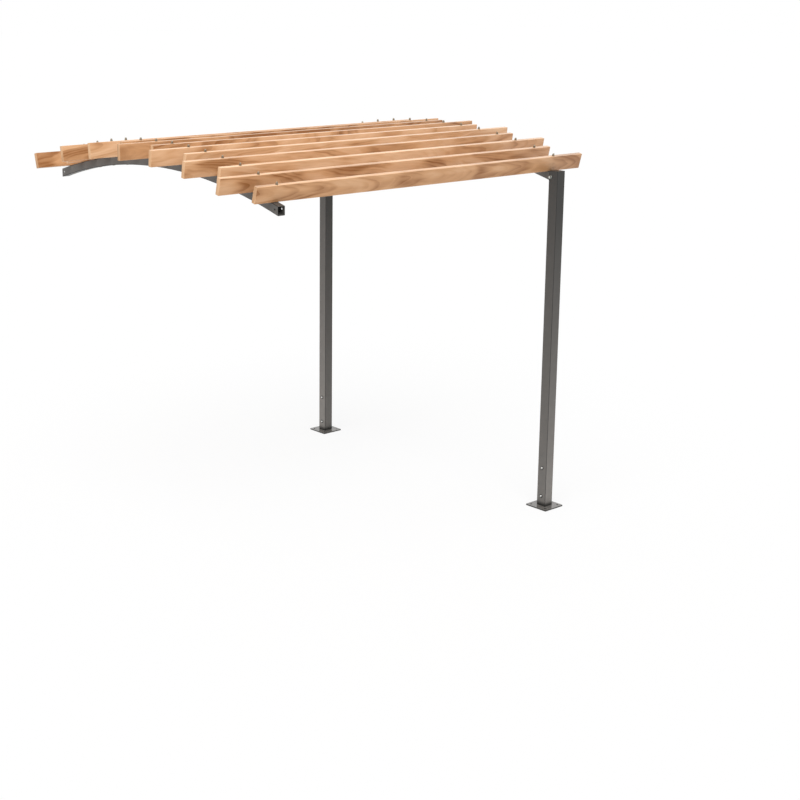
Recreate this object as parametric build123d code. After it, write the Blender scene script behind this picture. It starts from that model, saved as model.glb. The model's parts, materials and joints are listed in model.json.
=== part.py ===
from build123d import *
from math import asin, cos, degrees, sin, sqrt
import os

# Wooden pergola: two steel posts at the right-hand end carry one arched tube beam,
# a twin beam stands free at the left-hand end for the posts of a neighbouring bay,
# and a row of timber slats stands on edge across both beams, each one square to the arch.
# Millimetres, +Z up. The origin is the middle of the front post's foot, on the ground.
# X runs along the slats, Y runs from the front post to the rear post.

# Overall sizes
post_spacing = 2220.0
post_top_height = 2200.0
beam_spacing = 2200.0

# Arched beams: square tube, rolled to one radius and cut plumb at both ends
beam_size = 50.0
beam_wall = 3.0
beam_top_radius = 4000.0
beam_top_drop = 20.0
beam_end_distance = 24.0

# Posts: square tube, notched at the head for the beam
post_wall = 3.0
beam_side_room = 7.0
notch_side_gap = 0.5
cap_thickness = 4.0
cap_edge_chamfer = 1.0

# Post feet: a base plate with four anchor holes and a sleeve inside the post
plate_margin = 50.0
plate_thickness = 8.0
plate_corner_radius = 6.0
anchor_hole_diameter = 14.0
anchor_edge_distance = 25.0
sleeve_room = 2.0
sleeve_wall = 3.0
foot_bolt_heights = (73.0, 265.0)
sleeve_above_bolt = 35.0

# Cross bolts through posts, sleeves and beam ends
cross_hole_diameter = 11.0
head_bolt_from_wall = 10.0

# Timber slats, laid alternately to the left and to the right
slat_count = 14
slat_thickness = 28.0
slat_height = 95.0
slat_short_overhang = 139.0
slat_long_overhang = 261.0
slat_edge_chamfer = 2.5
front_slat_gap = 27.0
rear_slat_gap = 67.0

# Outer corners of every tube, as a share of its wall: at 1 the wall is even round a square bore
tube_corner_share = 1.0

# Clearances
seat_gap = 0.2
cut_overrun = 5.0

# Sizes that follow from the ones above
post_size = beam_size + 2 * (beam_side_room + post_wall)
post_half = post_size / 2
post_bore = post_size - 2 * post_wall
post_corner = tube_corner_share * post_wall
beam_corner = tube_corner_share * beam_wall
sleeve_size = post_bore - 2 * sleeve_room
sleeve_corner = tube_corner_share * sleeve_wall
sleeve_height = max(foot_bolt_heights) + sleeve_above_bolt - plate_thickness
plate_size = post_size + 2 * plate_margin
anchor_spacing = plate_size - 2 * anchor_edge_distance
post_foot = plate_thickness
post_head = post_top_height - cap_thickness

# The arch: its middle stands halfway between the posts
arch_middle = post_spacing / 2
arch_centre_height = post_top_height - beam_top_drop - sqrt(beam_top_radius**2 - arch_middle**2)
arch_axis = Axis((0, arch_middle, arch_centre_height), (1, 0, 0))
beam_mid_radius = beam_top_radius - beam_size / 2
beam_under_radius = beam_top_radius - beam_size

# Distances from the post's middle plane, measured towards the arch's middle
head_bolt_offset = post_half - post_wall - head_bolt_from_wall
beam_end_offset = head_bolt_offset - beam_end_distance


def arch_height(radius, offset):
    """Height of an arch of this radius, at this distance inside the post's middle plane."""
    return arch_centre_height + sqrt(radius**2 - (arch_middle - offset)**2)


head_bolt_height = arch_height(beam_mid_radius, head_bolt_offset)


def tube_section(size, wall, corner):
    """Square tube's section, rounded outside and square inside."""
    bore = size - 2 * wall
    return RectangleRounded(size, size, corner) - Rectangle(bore, bore)


def cross_hole(length, y, z):
    """Round cutter along X, centred on the YZ point."""
    return Pos(0, y, z) * Rot(0, 90, 0) * Cylinder(cross_hole_diameter / 2, length)


def make_base_plate():
    plate = extrude(RectangleRounded(plate_size, plate_size, plate_corner_radius), plate_thickness)
    holes = GridLocations(anchor_spacing, anchor_spacing, 2, 2) * Circle(anchor_hole_diameter / 2)
    return plate - extrude(Sketch() + holes, plate_thickness)


def make_foot_sleeve():
    tube = extrude(tube_section(sleeve_size, sleeve_wall, sleeve_corner), sleeve_height)
    sleeve = Pos(0, 0, plate_thickness) * tube
    for height in foot_bolt_heights:
        sleeve -= cross_hole(post_size, 0, height)
    return sleeve


def make_post():
    """Front post. Its notch opens towards the arch, down to the underside of the beam."""
    tube = extrude(tube_section(post_size, post_wall, post_corner), post_head - post_foot)
    post = Pos(0, 0, post_foot) * tube
    for height in foot_bolt_heights:
        post -= cross_hole(post_size + cut_overrun, 0, height)
    post -= cross_hole(post_size + cut_overrun, head_bolt_offset, head_bolt_height)
    notch_width = beam_size + 2 * notch_side_gap
    notch_bottom = arch_height(beam_under_radius, post_half - post_wall) - seat_gap
    notch_depth = post_head - notch_bottom
    notch = Box(notch_width, 2 * post_wall, notch_depth, align=(Align.CENTER, Align.CENTER, Align.MIN))
    return post - Pos(0, post_half, notch_bottom) * notch


def make_post_cap():
    cap = extrude(RectangleRounded(post_size, post_size, post_corner), cap_thickness)
    cap = chamfer(cap.faces().sort_by(Axis.Z)[-1].edges(), cap_edge_chamfer)
    return Pos(0, 0, post_head) * cap


def make_beam():
    """Arched tube over X = 0: a section turned about the arch's axis, then cut plumb at both ends."""
    crown = Plane((0, arch_middle, arch_centre_height + beam_mid_radius), x_dir=(1, 0, 0), z_dir=(0, -1, 0))
    section = crown * tube_section(beam_size, beam_wall, beam_corner)
    reach = arch_middle - beam_end_offset
    half_turn = degrees(asin((reach + beam_size) / beam_under_radius))
    tube = revolve(section.rotate(arch_axis, -half_turn), arch_axis, 2 * half_turn)
    between = Pos(0, arch_middle, arch_centre_height + beam_mid_radius)
    tube &= between * Box(2 * beam_size, 2 * reach, 2 * beam_mid_radius)
    for y in (head_bolt_offset, post_spacing - head_bolt_offset):
        tube -= cross_hole(beam_size + cut_overrun, y, head_bolt_height)
    return tube


def make_slat(index):
    """Slat on edge, square to the arch. The first leans forwards and the last leans back."""
    first_lean = asin((arch_middle - post_half - front_slat_gap) / beam_top_radius)
    last_lean = -asin((arch_middle - post_half - rear_slat_gap) / beam_top_radius)
    lean = first_lean + (last_lean - first_lean) * index / (slat_count - 1)
    overhang = slat_short_overhang if index % 2 == 0 else slat_long_overhang
    length = beam_spacing + slat_short_overhang + slat_long_overhang
    foot_radius = beam_top_radius + seat_gap
    foot = (-beam_spacing - overhang, arch_middle - foot_radius * sin(lean),
            arch_centre_height + foot_radius * cos(lean))
    end = Plane(foot, x_dir=(0, cos(lean), sin(lean)), z_dir=(1, 0, 0))
    outline = Rectangle(slat_thickness, slat_height, align=(Align.CENTER, Align.MIN))
    outline = chamfer(outline.vertices(), slat_edge_chamfer)
    return extrude(end * outline, length)


def rear(piece):
    """The same piece on the rear post, facing the other way."""
    return piece.mirror(Plane.XZ).translate((0, post_spacing, 0))


front_pieces = {
    "post": make_post(),
    "post_cap": make_post_cap(),
    "base_plate": make_base_plate(),
    "foot_sleeve": make_foot_sleeve(),
}
nodes = {}
for name, piece in front_pieces.items():
    nodes["front_" + name] = piece
    nodes["rear_" + name] = rear(piece)
beam = make_beam()
nodes["right_beam"] = beam
nodes["left_beam"] = Pos(-beam_spacing, 0, 0) * beam
for index in range(slat_count):
    nodes[f"slat_{index + 1:02d}"] = make_slat(index)

os.makedirs("parts", exist_ok=True)
for name, piece in nodes.items():
    export_step(piece, f"parts/{name}.step")
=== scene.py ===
import json
import math
import random

import bpy
from mathutils import Euler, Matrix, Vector


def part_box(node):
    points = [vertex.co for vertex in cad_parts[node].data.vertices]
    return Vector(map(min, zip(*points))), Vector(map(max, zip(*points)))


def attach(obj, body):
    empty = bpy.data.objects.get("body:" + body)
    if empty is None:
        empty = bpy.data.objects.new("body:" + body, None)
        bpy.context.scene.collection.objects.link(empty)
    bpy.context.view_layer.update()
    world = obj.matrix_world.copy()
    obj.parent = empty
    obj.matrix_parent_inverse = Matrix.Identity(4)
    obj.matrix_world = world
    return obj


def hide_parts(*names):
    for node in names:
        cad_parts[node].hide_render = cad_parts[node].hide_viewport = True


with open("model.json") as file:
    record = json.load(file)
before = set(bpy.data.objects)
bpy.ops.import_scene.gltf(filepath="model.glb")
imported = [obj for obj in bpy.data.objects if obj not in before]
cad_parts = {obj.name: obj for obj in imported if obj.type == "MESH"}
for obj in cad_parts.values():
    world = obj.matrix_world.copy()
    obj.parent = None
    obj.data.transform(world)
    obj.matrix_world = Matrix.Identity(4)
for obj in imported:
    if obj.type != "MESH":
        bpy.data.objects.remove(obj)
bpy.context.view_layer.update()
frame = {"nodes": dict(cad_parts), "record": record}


# Places read from the frame, in metres

def middle_of(node):
    """Middle of a node's box."""
    low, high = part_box(node)
    return (low + high) / 2


def size_of(node):
    """Length, depth and height of a node's box."""
    low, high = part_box(node)
    return high - low


front_post = middle_of("front_post")
rear_post = middle_of("rear_post")
post_half = size_of("front_post").x / 2
post_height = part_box("front_post_cap")[1].z
beam_places = {"right": middle_of("right_beam").x, "left": middle_of("left_beam").x}
arch_middle = (front_post.y + rear_post.y) / 2
slat_names = sorted(name for name in frame["nodes"] if name.startswith("slat_"))
slat_length = size_of(slat_names[0]).x
mounts = {mount["name"]: mount for mount in frame["record"]["mounts"]}

# Slats, beams and base plates
beam_top_radius = 4.0
beam_size = 0.050
plate_top = 0.008
slat_thickness = 0.028
slat_height = 0.095
slat_edge_round = 0.0025
slat_end_round = 0.0012
slat_mid_radius = beam_top_radius + slat_height / 2
slat_smooth_angle = math.radians(40)

# Bolts through the slats: M8, a cap nut on top and a low round head below
cap_nut_flats = 0.013
cap_nut_hexagon_height = 0.0065
cap_nut_dome_diameter = 0.0122
cap_nut_dome_height = 0.0090
cap_nut_dome_round = cap_nut_dome_diameter * 0.46
slat_washer_diameter = 0.016
washer_thickness = 0.0016
under_head_diameter = 0.017
under_head_height = 0.0028
under_head_round = under_head_height * 0.8

# Bolts through the posts: M10
post_bolt_diameter = 0.010
post_bolt_flats = 0.017
post_bolt_proud = 0.007
post_nut_height = 0.0085
post_head_height = 0.0065
post_washer_diameter = 0.022
post_thread_turns = 5
foot_bolt_heights = (0.073, 0.265)
foot_dome_diameter = 0.0135
foot_dome_height = 0.0060
foot_dome_round = foot_dome_height * 0.8
foot_washer_diameter = 0.024

# How finely the fixings are modelled
disc_sides = 24
cone_sides = 36
stud_sides = 16
fixing_smooth_angle = math.radians(35)

# Timber: rings, the step along the log from one board to the next, and colours
ring_width = 0.0075
log_taper = 0.06
log_step = 4.3
pale_timber = (0.87, 0.550, 0.325)
honey_timber = (0.68, 0.368, 0.178)
brown_timber = (0.34, 0.136, 0.040)
fibre_shadow = (0.86, 0.84, 0.82)
# Paler colours that paint light on the timber: a painted sheen on the narrow edges, and painted light on
# the sawn ends
edge_sheen_colour = (0.86, 0.61, 0.40)
end_light_colour = (0.66, 0.425, 0.245)

# How ripe each board is, from the front slat to the rear one: 0 is pale and 1 is brown. The rearmost
# slat's tone is darker partly as painted shade from the slats in front
slat_tones_and_shade = (0.56, 0.45, 0.06, 0.42, 0.12, 0.20, 0.48, 1.00, 0.72, 0.18, 0.75, 0.52, 0.50, 0.79)

# Powder coat
dark_paint = (0.032, 0.031, 0.029)
light_paint = (0.044, 0.042, 0.039)
# Colour of dust, which also paints light on the steel
dust_and_light_colour = (0.22, 0.205, 0.19)
# Painted shade: a dark line along the tube corners
corner_shade_colour = (0.010, 0.010, 0.010)
# Grime with painted contact shade at the post feet
grime_and_shade_colour = (0.006, 0.006, 0.005)

# Camera, found by fitting the bay to the photo
camera_place = (-7.0053, -6.0278, 3.2813)
camera_yaw = math.radians(39.590)
camera_pitch = math.radians(-13.018)
camera_lens = 65.88
camera_sensor = 36
camera_shift = (0.1161, -0.0862)

# Studio light
sun_towards = (-0.45, -0.30, 0.84)
sun_strength = 2.4
sun_width = math.radians(50)
fill_strength = 0.76
plain_white = (1.0, 1.0, 1.0)

# Floor, a hair below the base plates
floor_size = 200
floor_height = -0.0005
floor_middle = (-0.6, arch_middle, 0.0)
near_floor_grey = (0.78, 0.78, 0.78)
far_floor_grey = (0.45, 0.45, 0.45)
near_floor_reach = 1.5
far_floor_reach = 6.0
paper_grey = (0.72, 0.72, 0.72)
floor_white_share = 0.80


# Modelling by hand

def begin():
    """Leaves nothing selected, ready for a new primitive."""
    bpy.ops.object.select_all(action="DESELECT")


def make_active(piece):
    """Selects one piece alone."""
    begin()
    piece.select_set(True)
    bpy.context.view_layer.objects.active = piece


def pick_edges(piece, wanted):
    """Opens a piece for editing with only the wanted edges selected."""
    make_active(piece)
    bpy.ops.object.mode_set(mode="EDIT")
    bpy.ops.mesh.select_mode(type="EDGE")
    bpy.ops.mesh.select_all(action="DESELECT")
    bpy.ops.object.mode_set(mode="OBJECT")
    corners = piece.data.vertices
    for edge in piece.data.edges:
        start, end = (corners[index].co for index in edge.vertices)
        edge.select = wanted((start + end) / 2, end - start)
    bpy.ops.object.mode_set(mode="EDIT")


def put_down():
    """Ends editing."""
    bpy.ops.object.mode_set(mode="OBJECT")


def place(piece, location, rotation):
    """Moves and turns a piece, then writes its place into its mesh."""
    make_active(piece)
    piece.location = location
    piece.rotation_euler = rotation
    bpy.ops.object.transform_apply(location=True, rotation=True, scale=True)


def copy_of(piece):
    """A copy with a mesh of its own."""
    make_active(piece)
    bpy.ops.object.duplicate(linked=False)
    return bpy.context.object


def placed_copy(piece, location, rotation):
    """A copy with a mesh of its own, moved and turned."""
    copy = copy_of(piece)
    place(copy, location, rotation)
    return copy


def join(pieces, name):
    """Joins pieces into one mesh."""
    make_active(pieces[0])
    for piece in pieces:
        piece.select_set(True)
    bpy.ops.object.join()
    joined = bpy.context.object
    joined.name = name
    joined.data.name = name
    return joined


def round_rod(radius, height, base, sides):
    """An upright cylinder or prism on a base height."""
    begin()
    bpy.ops.mesh.primitive_cylinder_add(
        vertices=sides, radius=radius, depth=height, location=(0, 0, base + height / 2))
    rod = bpy.context.object
    bpy.ops.object.transform_apply(location=True)
    return rod


def round_disc(diameter, height, rim, steps, base=0.0):
    """A disc on a base height, its upper rim rounded in steps."""
    disc = round_rod(diameter / 2, height, base, disc_sides)
    top = base + height
    pick_edges(disc, lambda middle, run: abs(middle.z - top) < height / 100)
    bpy.ops.mesh.bevel(offset=rim, segments=steps, affect="EDGES")
    put_down()
    return disc


def hexagon_block(flats, height, base=0.0):
    """A nut or bolt head on a base height, its six upper corners turned down by a cone."""
    face_radius = flats * 0.475
    cone_slope = math.tan(math.radians(30))
    block = round_rod(flats / math.sqrt(3), height, base, 6)
    begin()
    bpy.ops.mesh.primitive_cone_add(
        vertices=cone_sides, radius1=face_radius + 2 * height / cone_slope, radius2=face_radius,
        depth=2 * height, location=(0, 0, base))
    cone = bpy.context.object
    make_active(block)
    turning = block.modifiers.new("turned_corners", "BOOLEAN")
    turning.operation = "INTERSECT"
    turning.object = cone
    bpy.ops.object.modifier_apply(modifier=turning.name)
    bpy.data.objects.remove(cone)

    # The cut leaves very short edges at the corners, which are welded
    bpy.ops.object.mode_set(mode="EDIT")
    bpy.ops.mesh.select_all(action="SELECT")
    bpy.ops.mesh.remove_doubles(threshold=height / 500)
    put_down()
    return block


def threaded_end(diameter, height, turns, base=0.0):
    """The end of a bolt on a base height, its thread made as rings."""
    core_share = 0.86
    stud = round_rod(diameter / 2 * core_share, height, base, stud_sides)
    pick_edges(stud, lambda middle, run: abs(run.z) > height / 2)
    bpy.ops.mesh.subdivide(number_cuts=2 * turns - 1)
    put_down()
    step = height / (2 * turns)

    def on_crest(middle, run):
        ring = round((middle.z - base) / step)
        return abs(run.z) < step / 10 and ring % 2 == 1

    pick_edges(stud, on_crest)
    bpy.ops.transform.resize(value=(1 / core_share, 1 / core_share, 1), center_override=(0, 0, base))
    put_down()
    return stud


# Shader sums

class Value:
    """A number or colour that varies over a surface. Sums on it add Math nodes."""

    def __init__(self, finish, socket):
        self.finish = finish
        self.socket = socket

    def sum(self, operation, first, second):
        return self.finish.add("ShaderNodeMath", {"operation": operation}, {0: first, 1: second})

    def __add__(self, other):
        return self.sum("ADD", self, other)

    def __radd__(self, other):
        return self.sum("ADD", other, self)

    def __sub__(self, other):
        return self.sum("SUBTRACT", self, other)

    def __rsub__(self, other):
        return self.sum("SUBTRACT", other, self)

    def __mul__(self, other):
        return self.sum("MULTIPLY", self, other)

    def __rmul__(self, other):
        return self.sum("MULTIPLY", other, self)

    def __truediv__(self, other):
        return self.sum("DIVIDE", self, other)


class Finish:
    """The nodes of a material or of the world."""

    def __init__(self, owner):
        owner.use_nodes = True
        self.tree = owner.node_tree
        self.tree.nodes.clear()

    def add(self, kind, settings, inputs, output=0):
        """Adds a node, sets it, then sets or links its sockets, and gives back one of its outputs."""
        node = self.tree.nodes.new(kind)
        for name, setting in settings.items():
            if name == "stops":
                self.set_stops(node.color_ramp, setting)
            else:
                setattr(node, name, setting)
        for name, given in inputs.items():
            if isinstance(given, Value):
                self.tree.links.new(given.socket, node.inputs[name])
            else:
                node.inputs[name].default_value = given
        return Value(self, node.outputs[output]) if node.outputs else node

    def set_stops(self, ramp, stops):
        """Gives a colour ramp its stops."""
        while len(ramp.elements) < len(stops):
            ramp.elements.new(1.0)
        for element, (position, colour) in zip(ramp.elements, stops):
            element.position = position
            element.color = (*colour, 1.0)

    def colour(self, given):
        """A varying colour as it is, or a fixed one with its alpha."""
        return given if isinstance(given, Value) else (*given, 1.0)

    def ramp(self, value, stops):
        """A colour that follows a number."""
        return self.add("ShaderNodeValToRGB", {"stops": stops}, {"Fac": value})

    def mix(self, share, first, second, blend="MIX"):
        """Mixes two colours. The Mix node's sockets repeat their names, so they go by number."""
        settings = {"data_type": "RGBA", "blend_type": blend}
        inputs = {0: share, 6: self.colour(first), 7: self.colour(second)}
        return self.add("ShaderNodeMix", settings, inputs, output=2)

    def between(self, value, low, high):
        """0 below low, 1 above high, smooth between them."""
        settings = {"interpolation_type": "SMOOTHSTEP"}
        inputs = {"Value": value, "From Min": low, "From Max": high}
        return self.add("ShaderNodeMapRange", settings, inputs)

    def below(self, value, low, high):
        """1 below low, 0 above high, smooth between them."""
        return 1 - self.between(value, low, high)

    def noise(self, vector, scale, detail=2.0):
        """Noise that varies through space."""
        inputs = {"Vector": vector, "Scale": scale, "Detail": detail}
        return self.add("ShaderNodeTexNoise", {}, inputs)

    def noise_along(self, value):
        """Noise that varies with one number alone."""
        return self.add("ShaderNodeTexNoise", {"noise_dimensions": "1D"}, {"W": value, "Scale": 1.0})

    def stretched(self, vector, scale):
        """A vector scaled along each axis."""
        return self.add("ShaderNodeVectorMath", {"operation": "MULTIPLY"}, {0: vector, 1: scale})

    def vector(self, parts):
        """A vector from its axes."""
        return self.add("ShaderNodeCombineXYZ", {}, parts)

    def part_of(self, vector, axis):
        """One axis of a vector."""
        return self.add("ShaderNodeSeparateXYZ", {}, {"Vector": vector}, output=axis)

    def coordinate(self, kind):
        """A surface's place on its piece, or the way that it looks."""
        return self.add("ShaderNodeTexCoord", {}, {}, output=kind)

    def stored(self, name, kind):
        """What a mesh stores under this name."""
        return self.add("ShaderNodeAttribute", {"attribute_name": name}, {}, output=kind)

    def bump(self, height, strength, distance):
        """A normal that follows fine relief."""
        inputs = {"Height": height, "Strength": strength, "Distance": distance}
        return self.add("ShaderNodeBump", {}, inputs)

    def surface(self, inputs):
        """Ends a material with one surface shader."""
        shader = self.add("ShaderNodeBsdfPrincipled", {}, inputs)
        self.add("ShaderNodeOutputMaterial", {}, {"Surface": shader})


def new_material(name):
    """An empty material and its nodes."""
    material = bpy.data.materials.new(name)
    return material, Finish(material)


# Finishes

def oiled_timber(name, base_roughness, sheen, painted_light_share=0.0, painted_light_colour=edge_sheen_colour):
    """Softwood under honey brown oil, with its log's rings. A share of it can be mixed towards a paler
    colour, which paints light on it.
    """
    material, wood = new_material(name)
    log_place = wood.stored("log_place", "Vector")
    board_tone = wood.stored("board_tone", "Fac")
    along, across, upright = (wood.part_of(log_place, axis) for axis in "XYZ")

    # Distance from the pith. The log tapers, so a flat face cuts its rings in long arches
    side_wander = (wood.noise_along(along * 0.9) - 0.5) * 0.04
    height_wander = (wood.noise_along(along * 0.7 + 50.0) - 0.5) * 0.04
    ripple = wood.noise(wood.stretched(log_place, (3.5, 12.0, 12.0)), 1.0)
    from_pith = wood.vector({"Y": across + side_wander, "Z": upright + height_wander})
    radius = wood.add("ShaderNodeVectorMath", {"operation": "LENGTH"}, {0: from_pith}, output="Value")
    growth = radius + (ripple - 0.5) * 0.020 - along * log_taper

    # Broad flames that follow the rings, blotches of resin, single rings, streaks and fibres
    flame_place = wood.vector({"X": along * 2.5, "Y": growth * 36.0})
    flames = wood.between(wood.noise(flame_place, 1.0, detail=1.5), 0.42, 0.60)
    blotch_place = wood.stretched(log_place, (3.0, 12.0, 12.0))
    blotches = wood.between(wood.noise(blotch_place, 1.0), 0.44, 0.62)
    ring = wood.add("ShaderNodeMath", {"operation": "FRACT"}, {0: growth / ring_width})
    late_wood = wood.between(ring, 0.30, 0.90) * wood.below(ring, 0.94, 1.0)
    streak_place = wood.vector({"X": along * 2.2, "Y": growth * 130.0})
    streaks = wood.between(wood.noise(streak_place, 1.0, detail=3.0), 0.50, 0.72)
    fibres = wood.noise(wood.stretched(log_place, (9.0, 420.0, 420.0)), 1.0, detail=4.0)

    # The board tone also holds painted shade on the rearmost slat
    ripeness = board_tone * 0.60 - 0.06 + flames * 0.36 + blotches * 0.22
    ripeness = ripeness + late_wood * (0.06 + flames * 0.14) + streaks * 0.14
    colour = wood.ramp(ripeness, [(0.0, pale_timber), (0.5, honey_timber), (1.0, brown_timber)])
    fibre_shade = wood.ramp(fibres, [(0.30, fibre_shadow), (0.70, plain_white)])
    colour = wood.mix(0.8, colour, fibre_shade, blend="MULTIPLY")
    # Painted light: a share of paler colour, as a painted sheen on the edges and painted light on the ends
    colour = wood.mix(painted_light_share, colour, painted_light_colour)

    wood.surface({
        "Base Color": colour,
        "Roughness": base_roughness + (fibres - 0.5) * 0.2,
        "Specular IOR Level": 0.4,
        "Coat Weight": sheen,
        "Coat Roughness": 0.25,
        "Normal": wood.bump(late_wood * 0.5 + fibres * 0.5, 0.25, 0.0004),
    })
    return material


def powder_coat(name, dust_and_light_film):
    """Satin anthracite powder coat under dust and painted light, which make it lighter low down and on
    some faces, plus an even film of both, with a painted dark shade line along the corners.
    """
    material, paint = new_material(name)
    body_place = paint.coordinate("Object")
    facing = paint.coordinate("Normal")
    depth, height = (paint.part_of(body_place, axis) for axis in "YZ")
    sideways, outwards, upwards = (paint.part_of(facing, axis) for axis in "XYZ")
    mottle = paint.noise(body_place, 11.0, detail=4.0)
    peel = paint.noise(body_place, 520.0, detail=1.0)

    # Tube corners are the faces that look partly sideways
    turn = paint.add("ShaderNodeMath", {"operation": "ABSOLUTE"}, {0: sideways})
    # Painted shade: a dark line along the corners, darker than the paint, which also takes the dust off
    corner_shade = paint.between(turn * (1 - turn) * 4.0, 0.15, 0.70)

    # Dust and painted light: the paint turns lighter towards the bottom, for light from the floor and
    # shade from the roof, most on faces that look away from the bay and towards the rear, for the floor
    # seen in reflection
    lowness = 1 - height / post_height
    openness = outwards * (depth - arch_middle) / arch_middle
    rearness = depth / (2 * arch_middle)
    floor_light_and_splash = 0.75 + openness * 0.2 + turn * (rearness * 0.3 - 0.3)
    facing_light_and_dust = turn * (0.14 + rearness * 0.10) - 0.10
    drift = 0.8 + 0.4 * paint.noise(body_place, 24.0, detail=5.0)
    # The film argument adds dust and painted light evenly
    dust_and_light = (lowness * floor_light_and_splash + facing_light_and_dust + dust_and_light_film) * drift

    # The base plates are smooth and glossy, with less dust on top; their edges get no dust and are darker,
    # as painted shade
    level = paint.between(upwards, 0.5, 0.95)
    on_plate = level * paint.below(height, plate_top + 0.002, plate_top + 0.012)
    shaded_plate_edge = (1 - level) * paint.below(height, plate_top, plate_top + 0.006)
    dust_and_light = dust_and_light * (1 - corner_shade) * (1 - shaded_plate_edge) * (1 - on_plate * 0.3)

    # Black grime and painted contact shade where a post stands on its plate
    above_plate = paint.between(height, plate_top - 0.0002, plate_top + 0.0002)
    near_plate = paint.below(height, plate_top + 0.004, plate_top + 0.037)
    grime_and_shade = (1 - level) * above_plate * near_plate

    colour = paint.mix(mottle, dark_paint, light_paint)
    # Dust, which also paints light
    colour = paint.mix(dust_and_light, colour, dust_and_light_colour)
    # Painted shade along the corners
    colour = paint.mix(corner_shade * 0.8, colour, corner_shade_colour)
    # Grime and painted contact shade at the post feet
    colour = paint.mix(grime_and_shade * 0.9, colour, grime_and_shade_colour)
    paint.surface({
        "Base Color": colour,
        "Roughness": 0.40 + (mottle - 0.5) * 0.12 - on_plate * 0.16,
        "Specular IOR Level": 0.30,
        "Coat Weight": on_plate * 0.5,
        "Coat Roughness": 0.15,
        "Normal": paint.bump(peel, 0.10, 0.0003),
    })
    return material


def zinc_plate(name, dull, bright, roughness):
    """Plated steel with a faint cloudy bloom."""
    material, zinc = new_material(name)
    bloom = zinc.noise(zinc.coordinate("Object"), 160.0, detail=3.0)
    zinc.surface({
        "Base Color": zinc.mix(bloom, dull, bright),
        "Metallic": 1.0,
        "Roughness": roughness + (bloom - 0.5) * 0.2,
    })
    return material


def black_nylon():
    """Black nylon of the washers that keep bolts off the paint."""
    material, nylon = new_material("black_nylon")
    scuff = nylon.noise(nylon.coordinate("Object"), 300.0)
    nylon.surface({
        "Base Color": nylon.mix(scuff, (0.018, 0.018, 0.018), (0.035, 0.034, 0.033)),
        "Roughness": 0.45 + scuff * 0.2,
    })
    return material


planed_timber = oiled_timber("oiled_timber", 0.46, 0.12)
# Edges and ends are mixed towards paler colours, as painted sheen and painted light
planed_edge = oiled_timber("planed_edge", 0.42, 0.55, 0.28, edge_sheen_colour)
sawn_end = oiled_timber("sawn_end", 0.70, 0.0, 0.55, end_light_colour)
slat_finishes = [planed_timber, planed_edge, sawn_end]
post_paint = powder_coat("post_paint", 0.0)
# The beams get a film of dust that also paints light, so they are lighter than the posts
lit_beam_paint = powder_coat("lit_beam_paint", 0.32)
dull_zinc = zinc_plate("dull_zinc", (0.235, 0.195, 0.145), (0.365, 0.305, 0.230), 0.44)
bright_zinc = zinc_plate("bright_zinc", (0.55, 0.55, 0.53), (0.75, 0.75, 0.73), 0.30)
plain_zinc = zinc_plate("plain_zinc", (0.36, 0.37, 0.35), (0.52, 0.53, 0.50), 0.36)
washer_nylon = black_nylon()


# Timber slats

def slat_lean(name):
    """Angle by which a slat leans forwards, so that it stands square to the arch."""
    return math.asin((arch_middle - middle_of(name).y) / slat_mid_radius)


def slat_blank():
    """One slat about the origin, its long edges rounded and its ends eased."""
    begin()
    bpy.ops.mesh.primitive_cube_add(size=1)
    blank = bpy.context.object
    blank.scale = (slat_length, slat_thickness, slat_height)
    bpy.ops.object.transform_apply(scale=True)
    pick_edges(blank, lambda middle, run: abs(run.x) > slat_length / 2)
    bpy.ops.mesh.bevel(offset=slat_edge_round, segments=3, affect="EDGES")
    put_down()
    end_plane = slat_length / 2 - slat_end_round
    pick_edges(blank, lambda middle, run: abs(middle.x) > end_plane)
    bpy.ops.mesh.bevel(offset=slat_end_round, segments=2, affect="EDGES")
    put_down()
    bpy.ops.object.shade_smooth_by_angle(angle=slat_smooth_angle)
    for material in slat_finishes:
        blank.data.materials.append(material)
    for face in blank.data.polygons:
        if abs(face.normal.x) > 0.9:
            face.material_index = slat_finishes.index(sawn_end)
        elif abs(face.normal.z) > 0.6:
            face.material_index = slat_finishes.index(planed_edge)
    return blank


def note_log_place(slat, number, tone):
    """Stores a board's tone, which on the rearmost slat also holds painted shade, and where its corners
    lay in the log, along the grain and from the pith.
    """
    draw = random.Random(number)
    log_start = log_step * number
    way_up = draw.choice((-1, 1))
    pith_side = draw.choice((-1, 1)) * draw.uniform(0.085, 0.135)
    pith_height = draw.uniform(-0.040, 0.040)
    side_run = draw.uniform(-0.012, 0.012)
    height_run = draw.uniform(-0.035, 0.035)
    log_place = slat.data.attributes.new("log_place", "FLOAT_VECTOR", "POINT")
    for corner, stored in zip(slat.data.vertices, log_place.data):
        x, y, z = corner.co
        stored.vector = (
            log_start + way_up * x, y + pith_side + side_run * x, z + pith_height + height_run * x)
    board_tone = slat.data.attributes.new("board_tone", "FLOAT", "POINT")
    for stored in board_tone.data:
        stored.value = tone


def make_slats():
    """The fourteen slats, each with its own place in a log."""
    blank = slat_blank()
    for number, (name, tone) in enumerate(zip(slat_names, slat_tones_and_shade), start=1):
        slat = copy_of(blank)
        slat.name = f"timber_{name}"
        note_log_place(slat, number, tone)
        place(slat, middle_of(name), (slat_lean(name), 0, 0))
        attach(slat, "root")
        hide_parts(name)
    bpy.data.objects.remove(blank)


# Bolts

def steel_washer(diameter):
    """A flat washer with its upper rim eased."""
    return round_disc(diameter, washer_thickness, washer_thickness / 4, 1)


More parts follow.
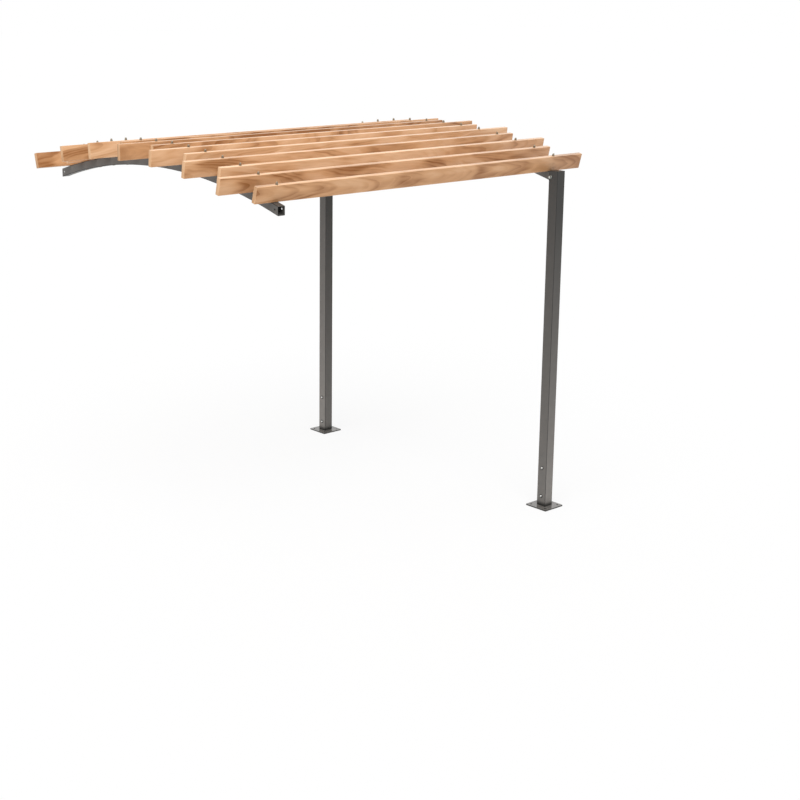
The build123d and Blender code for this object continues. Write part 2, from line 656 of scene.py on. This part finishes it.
def cap_nut_stack():
    """What shows on top of a slat: washer and cap nut."""
    washer = steel_washer(slat_washer_diameter)
    hexagon = hexagon_block(cap_nut_flats, cap_nut_hexagon_height, washer_thickness)
    dome_base = washer_thickness + cap_nut_hexagon_height
    dome = round_disc(cap_nut_dome_diameter, cap_nut_dome_height, cap_nut_dome_round, 5, dome_base)
    return join([washer, hexagon, dome], "slat_cap_nut")


def under_head():
    """What shows under a beam: the bolt's low round head."""
    return round_disc(under_head_diameter, under_head_height, under_head_round, 3)


def post_nut_stack():
    """Washer, nut and threaded end of a bolt through a post."""
    washer = steel_washer(post_washer_diameter)
    nut = hexagon_block(post_bolt_flats, post_nut_height, washer_thickness)
    nut_top = washer_thickness + post_nut_height
    end = threaded_end(post_bolt_diameter, post_bolt_proud, post_thread_turns, nut_top)
    return join([washer, nut, end], "post_nut")


def post_head_stack():
    """Washer and hexagon head of a bolt through a post."""
    washer = steel_washer(post_washer_diameter)
    head = hexagon_block(post_bolt_flats, post_head_height, washer_thickness)
    return join([washer, head], "post_bolt_head")


def dress_fixing(piece, material):
    """Gives a row of fixings its material and its place in the part."""
    piece.data.materials.clear()
    piece.data.materials.append(material)
    make_active(piece)
    bpy.ops.object.shade_smooth_by_angle(angle=fixing_smooth_angle)
    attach(piece, "root")


def radial_point(lean, x, radius):
    """Point over the arch at this lean, at this distance from the arch's centre."""
    slat = middle_of(slat_names[0])
    first_lean = slat_lean(slat_names[0])
    centre_height = slat.z - slat_mid_radius * math.cos(first_lean)
    return Vector((x, arch_middle - radius * math.sin(lean), centre_height + radius * math.cos(lean)))


def leaning_turn(lean, turn):
    """Rotation of a fixing that is turned about its own axis and then leans."""
    rotation = Euler((lean, 0, 0)).to_matrix() @ Euler((0, 0, turn)).to_matrix()
    return rotation.to_euler()


def make_slat_bolts():
    """A row of nuts over each beam, and a row of bolt heads under it."""
    draw = random.Random(5)
    nut = cap_nut_stack()
    head = under_head()
    for side, x in beam_places.items():
        nuts = []
        heads = []
        for name in slat_names:
            lean = slat_lean(name)
            on_slat = radial_point(lean, x, beam_top_radius + slat_height)
            under_beam = radial_point(lean, x, beam_top_radius - beam_size)
            nut_turn = leaning_turn(lean, draw.uniform(0, math.tau))
            head_turn = leaning_turn(lean + math.pi, draw.uniform(0, math.tau))
            nuts.append(placed_copy(nut, on_slat, nut_turn))
            heads.append(placed_copy(head, under_beam, head_turn))
        dress_fixing(join(nuts, f"{side}_slat_nuts"), dull_zinc)
        dress_fixing(join(heads, f"{side}_slat_bolt_heads"), dull_zinc)
    bpy.data.objects.remove(nut)
    bpy.data.objects.remove(head)


def sideways_turn(side):
    """Rotation of a fixing that looks to the right, or with -1 to the left."""
    return (0, side * math.pi / 2, 0)


def make_post_head_bolts():
    """The bolts that hold the right beam in the posts' heads."""
    nut = post_nut_stack()
    head = post_head_stack()
    pieces = []
    for end in ("front", "rear"):
        y, z = mounts[f"left_beam_{end}_hole_outer_wall"]["pos_m"][1:]
        pieces.append(placed_copy(head, (post_half, y, z), sideways_turn(1)))
        pieces.append(placed_copy(nut, (-post_half, y, z), sideways_turn(-1)))
    dress_fixing(join(pieces, "post_head_bolts"), plain_zinc)
    bpy.data.objects.remove(nut)
    bpy.data.objects.remove(head)


def make_foot_bolts():
    """The bolts through posts and foot sleeves: round heads on nylon washers, both sides."""
    washer = round_disc(foot_washer_diameter, washer_thickness, washer_thickness / 3, 1)
    dome = round_disc(foot_dome_diameter, foot_dome_height, foot_dome_round, 4, washer_thickness)
    washers = []
    domes = []
    for post in (front_post, rear_post):
        for height in foot_bolt_heights:
            for side in (-1, 1):
                spot = (post.x + side * post_half, post.y, height)
                washers.append(placed_copy(washer, spot, sideways_turn(side)))
                domes.append(placed_copy(dome, spot, sideways_turn(side)))
    dress_fixing(join(washers, "foot_bolt_washers"), washer_nylon)
    dress_fixing(join(domes, "foot_bolt_heads"), bright_zinc)
    bpy.data.objects.remove(washer)
    bpy.data.objects.remove(dome)


def paint_steel():
    """Gives every steel node its powder coat."""
    for name, node in frame["nodes"].items():
        if name in slat_names:
            continue
        node.data.materials.clear()
        node.data.materials.append(lit_beam_paint if name.endswith("beam") else post_paint)


# Studio

def seen_directly(finish):
    """1 for rays from the camera, in a mirror or through glass, and 0 for rays that only carry light."""
    kinds = ("Is Camera Ray", "Is Glossy Ray", "Is Transmission Ray")
    camera, mirror, glass = (finish.add("ShaderNodeLightPath", {}, {}, output=kind) for kind in kinds)
    return camera + mirror + glass


def make_floor():
    """A floor that shows as white paper with a faint shadow, and throws back most light near the posts."""
    begin()
    bpy.ops.mesh.primitive_plane_add(size=floor_size, location=(0, 0, floor_height))
    floor = bpy.context.object
    floor.name = "floor"
    material, finish = new_material("white_paper_floor")
    from_middle = {0: finish.coordinate("Object"), 1: floor_middle}
    reach = finish.add("ShaderNodeVectorMath", {"operation": "DISTANCE"}, from_middle, output="Value")
    farness = finish.between(reach, near_floor_reach, far_floor_reach)
    thrown_back = finish.mix(farness, near_floor_grey, far_floor_grey)
    bounce = finish.add("ShaderNodeBsdfDiffuse", {}, {"Color": thrown_back})
    paper = finish.add("ShaderNodeBsdfDiffuse", {}, {"Color": finish.colour(paper_grey)})
    white = finish.add("ShaderNodeEmission", {}, {"Color": finish.colour(plain_white), "Strength": 1.0})
    shown = finish.add("ShaderNodeMixShader", {}, {0: floor_white_share, 1: paper, 2: white})
    shader = finish.add("ShaderNodeMixShader", {}, {0: seen_directly(finish), 1: bounce, 2: shown})
    finish.add("ShaderNodeOutputMaterial", {}, {"Surface": shader})
    floor.data.materials.append(material)


def make_world():
    """White where it is seen, and softer where it lights the bay."""
    world = bpy.data.worlds.new("studio")
    bpy.context.scene.world = world
    finish = Finish(world)
    white = finish.colour(plain_white)
    fill = finish.add("ShaderNodeBackground", {}, {"Color": white, "Strength": fill_strength})
    shown = finish.add("ShaderNodeBackground", {}, {"Color": white, "Strength": 1.0})
    shader = finish.add("ShaderNodeMixShader", {}, {0: seen_directly(finish), 1: fill, 2: shown})
    finish.add("ShaderNodeOutputWorld", {}, {"Surface": shader})


def add_sun():
    """One broad soft light, high up on the front left."""
    begin()
    turn = Vector(sun_towards).to_track_quat("Z", "Y").to_euler()
    bpy.ops.object.light_add(type="SUN", rotation=turn)
    lamp = bpy.context.object
    lamp.name = "soft_sun"
    lamp.data.energy = sun_strength
    lamp.data.angle = sun_width


def make_camera():
    """The photo's view."""
    begin()
    turn = (math.pi / 2 + camera_pitch, 0, -camera_yaw)
    bpy.ops.object.camera_add(location=camera_place, rotation=turn)
    camera = bpy.context.object
    camera.data.sensor_width = camera_sensor
    camera.data.lens = camera_lens
    camera.data.shift_x, camera.data.shift_y = camera_shift
    bpy.context.scene.camera = camera


make_slats()
make_slat_bolts()
make_post_head_bolts()
make_foot_bolts()
paint_steel()
make_floor()
make_world()
add_sun()
make_camera()
bpy.context.scene.view_settings.view_transform = "Standard"
